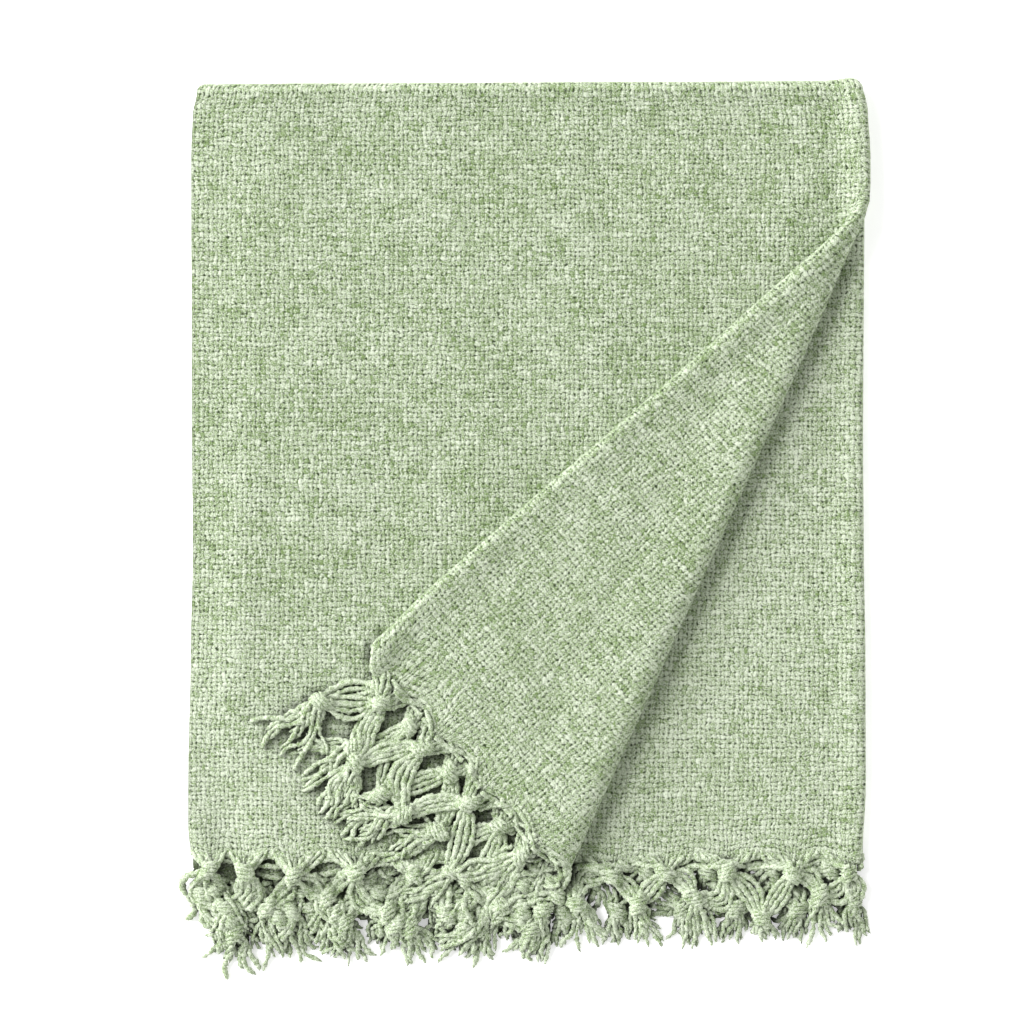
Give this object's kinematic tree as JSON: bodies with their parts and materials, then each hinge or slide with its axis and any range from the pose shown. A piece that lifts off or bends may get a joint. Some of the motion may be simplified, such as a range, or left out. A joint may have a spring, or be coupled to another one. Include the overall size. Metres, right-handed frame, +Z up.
{
  "type": "chenille throw blanket",
  "caption": "Fringed chenille throw lying folded in four layers, with one corner of its upper layers turned back as a flap.",
  "frame": {"origin": "middle of the underside, on the surface that the folded throw lies on", "axes": "+Z up, +Y along the throw's length towards its top fold, +X across it towards its side fold"},
  "size_m": [0.6386, 0.8354, 0.041],
  "materials": {
    "chenille_cloth": "plain-woven chenille in mottled sage green, soft short pile, matt",
    "chenille_fringe": "knotted chenille warp yarns in mottled sage green, soft short pile, matt"
  },
  "bodies": {
    "root": {"throw_cloth": "chenille_cloth", "fringe_upper_end": "chenille_fringe", "fringe_lower_end": "chenille_fringe"}
  },
  "joints": []
}
